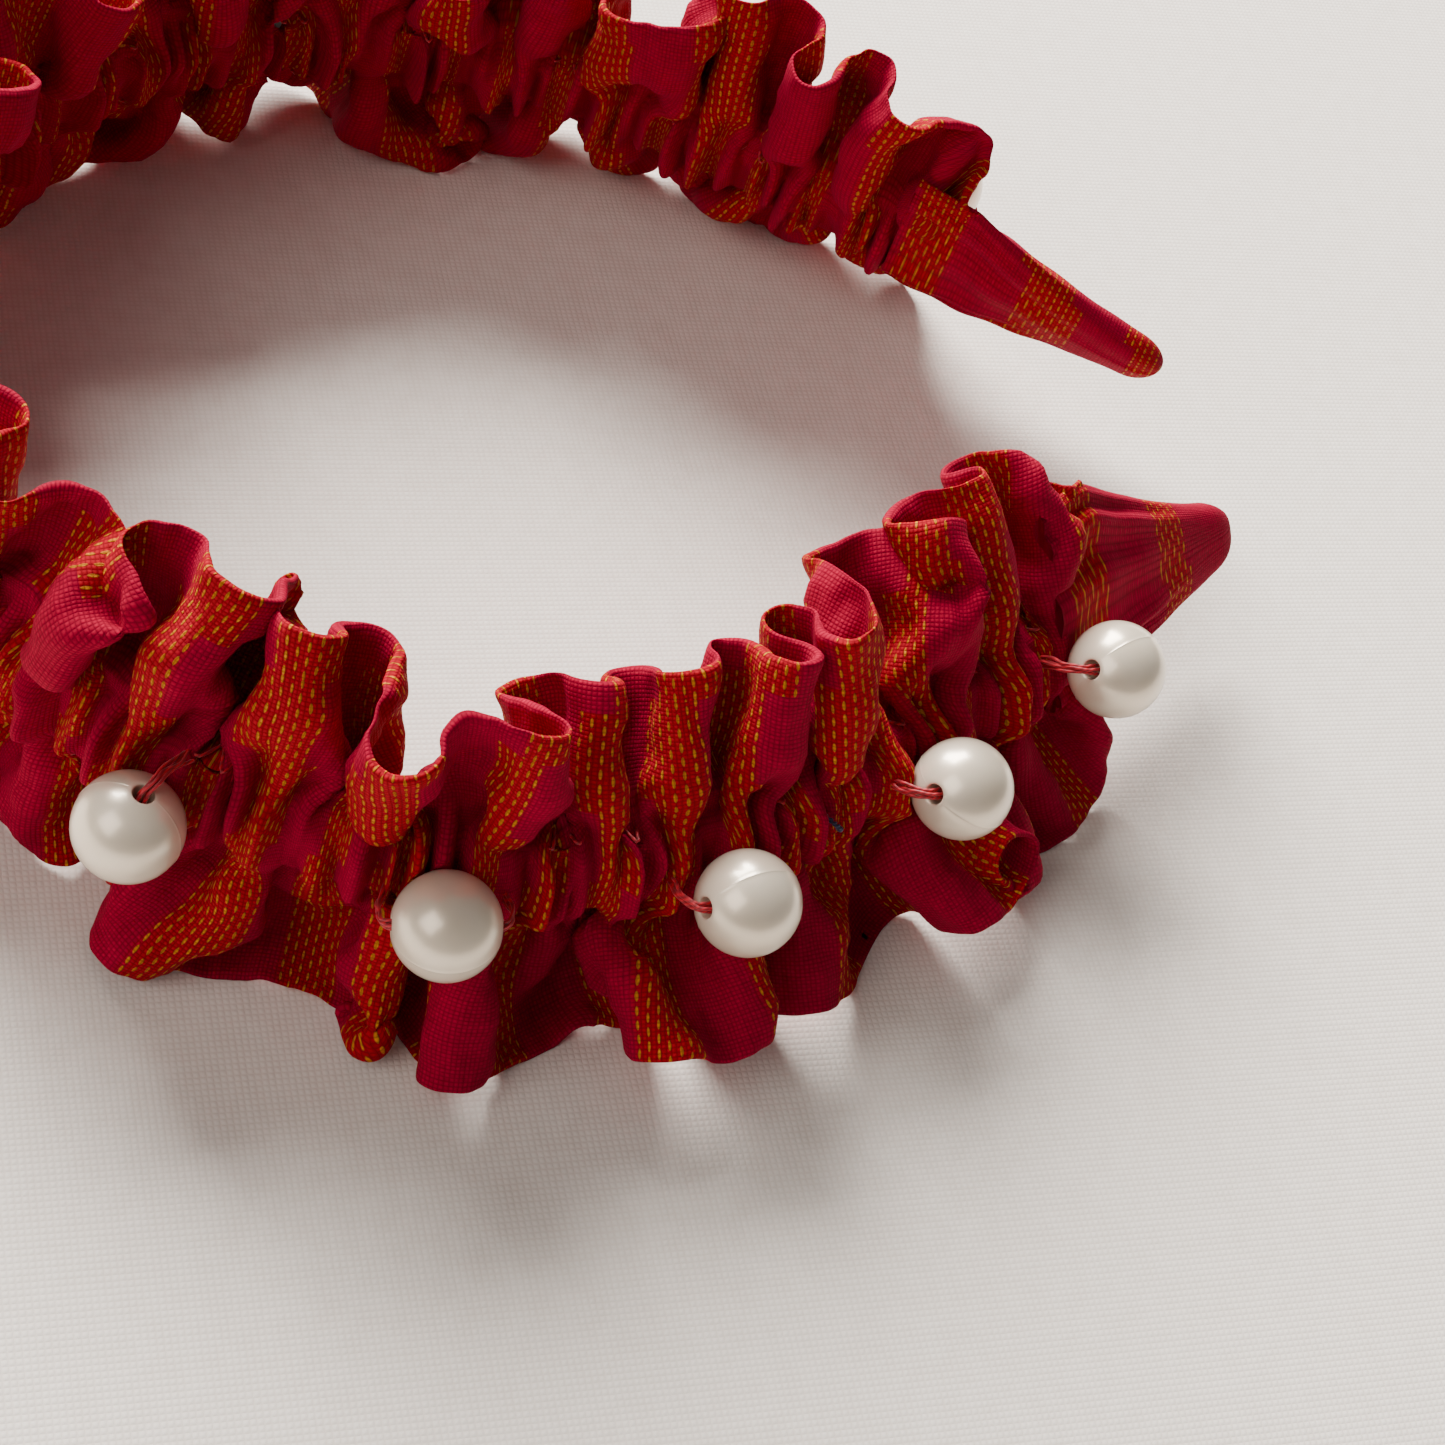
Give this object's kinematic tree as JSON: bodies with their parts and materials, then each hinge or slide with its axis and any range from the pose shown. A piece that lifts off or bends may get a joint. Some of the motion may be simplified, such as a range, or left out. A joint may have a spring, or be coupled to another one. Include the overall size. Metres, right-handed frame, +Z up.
{
  "type": "ruched hairband",
  "caption": "C-shaped hairband: springy core in a gathered double-layer fabric sleeve with smooth tip covers and pearl beads sewn along the outer face.",
  "frame": {"origin": "on the surface the band lies on, under the middle of its outline", "axes": "+Z up from the frill's resting edge across the band's width, +Y from the tips towards the crown, X = 0 the plane of symmetry"},
  "size_m": [0.1328, 0.1564, 0.0411],
  "materials": {
    "crimson_cotton": "matte handwoven cotton, crimson with bands of yellow-orange dashes",
    "core_plastic": "satin",
    "pearl": "pearlescent ivory",
    "red_thread": "sewing thread",
    "navy_thread": "sewing thread"
  },
  "bodies": {
    "crown": {"hoop_core_crown": "core_plastic", "ruched_sleeve_crown": "crimson_cotton", "gathering_thread_upper_crown": "red_thread", "gathering_thread_lower_crown": "red_thread", "pearl_thread_07": "red_thread"},
    "left_arm": {"hoop_core_left": "core_plastic", "ruched_sleeve_left": "crimson_cotton", "gathering_thread_upper_left": "red_thread", "gathering_thread_lower_left": "red_thread", "tip_cover_left": "crimson_cotton", "tacking_stitch": "navy_thread", "pearl_thread_01": "red_thread", "pearl_thread_02": "red_thread", "pearl_thread_03": "red_thread", "pearl_thread_04": "red_thread", "pearl_thread_05": "red_thread", "pearl_thread_06": "red_thread"},
    "right_arm": {"hoop_core_right": "core_plastic", "ruched_sleeve_right": "crimson_cotton", "gathering_thread_upper_right": "red_thread", "gathering_thread_lower_right": "red_thread", "tip_cover_right": "crimson_cotton", "pearl_thread_08": "red_thread", "pearl_thread_09": "red_thread", "pearl_thread_10": "red_thread", "pearl_thread_11": "red_thread", "pearl_thread_12": "red_thread", "pearl_thread_13": "red_thread"},
    "bead_01": {"pearl_01": "pearl"},
    "bead_02": {"pearl_02": "pearl"},
    "bead_03": {"pearl_03": "pearl"},
    "bead_04": {"pearl_04": "pearl"},
    "bead_05": {"pearl_05": "pearl"},
    "bead_06": {"pearl_06": "pearl"},
    "bead_07": {"pearl_07": "pearl"},
    "bead_08": {"pearl_08": "pearl"},
    "bead_09": {"pearl_09": "pearl"},
    "bead_10": {"pearl_10": "pearl"},
    "bead_11": {"pearl_11": "pearl"},
    "bead_12": {"pearl_12": "pearl"},
    "bead_13": {"pearl_13": "pearl"}
  },
  "joints": [
    {"name": "left_arm_flex", "type": "hinge", "parent": "crown", "child": "left_arm", "pos_m": [-0.01263, 0.06368, 0.02044], "axis": [0, 0, -1], "range_deg": [-2.5, 18], "stiffness_Nm_per_rad": 0.6},
    {"name": "right_arm_flex", "type": "hinge", "parent": "crown", "child": "right_arm", "pos_m": [0.01263, 0.06368, 0.02044], "axis": [0, 0, 1], "range_deg": [-2.5, 18], "stiffness_Nm_per_rad": 0.6},
    {"name": "bead_01_spin", "type": "hinge", "parent": "left_arm", "child": "bead_01", "pos_m": [-0.03454, -0.05391, 0.01966], "axis": [-0.3001, 0.8575, 0.4178], "continuous": true},
    {"name": "bead_02_spin", "type": "hinge", "parent": "left_arm", "child": "bead_02", "pos_m": [-0.04855, -0.03254, 0.01977], "axis": [-0.3635, 0.8502, 0.3808], "continuous": true},
    {"name": "bead_03_spin", "type": "hinge", "parent": "left_arm", "child": "bead_03", "pos_m": [-0.06043, -0.00749, 0.01995], "axis": [-0.1908, 0.9593, 0.2083], "continuous": true},
    {"name": "bead_04_spin", "type": "hinge", "parent": "left_arm", "child": "bead_04", "pos_m": [-0.06154, 0.02114, 0.02026], "axis": [0.1517, 0.9805, -0.1253], "continuous": true},
    {"name": "bead_05_spin", "type": "hinge", "parent": "left_arm", "child": "bead_05", "pos_m": [-0.05017, 0.0476, 0.02054], "axis": [-0.0281, 0.1592, -0.9869], "continuous": true},
    {"name": "bead_06_spin", "type": "hinge", "parent": "left_arm", "child": "bead_06", "pos_m": [-0.0282, 0.0664, 0.02064], "axis": [0.8795, 0.4435, 0.1724], "continuous": true},
    {"name": "bead_07_spin", "type": "hinge", "parent": "crown", "child": "bead_07", "pos_m": [0, 0.07326, 0.0205], "axis": [0.9613, 0, -0.2756], "continuous": true},
    {"name": "bead_08_spin", "type": "hinge", "parent": "right_arm", "child": "bead_08", "pos_m": [0.0282, 0.0664, 0.02064], "axis": [0.8818, -0.4596, 0.1054], "continuous": true},
    {"name": "bead_09_spin", "type": "hinge", "parent": "right_arm", "child": "bead_09", "pos_m": [0.05017, 0.0476, 0.02054], "axis": [0.111, 0.047, -0.9927], "continuous": true},
    {"name": "bead_10_spin", "type": "hinge", "parent": "right_arm", "child": "bead_10", "pos_m": [0.06154, 0.02114, 0.02026], "axis": [0.1517, -0.9805, 0.1253], "continuous": true},
    {"name": "bead_11_spin", "type": "hinge", "parent": "right_arm", "child": "bead_11", "pos_m": [0.06043, -0.00749, 0.01995], "axis": [-0.1558, -0.9396, -0.3049], "continuous": true},
    {"name": "bead_12_spin", "type": "hinge", "parent": "right_arm", "child": "bead_12", "pos_m": [0.04855, -0.03254, 0.01977], "axis": [-0.3454, -0.8442, -0.41], "continuous": true},
    {"name": "bead_13_spin", "type": "hinge", "parent": "right_arm", "child": "bead_13", "pos_m": [0.03454, -0.05391, 0.01966], "axis": [-0.3817, -0.8723, -0.3057], "continuous": true}
  ]
}
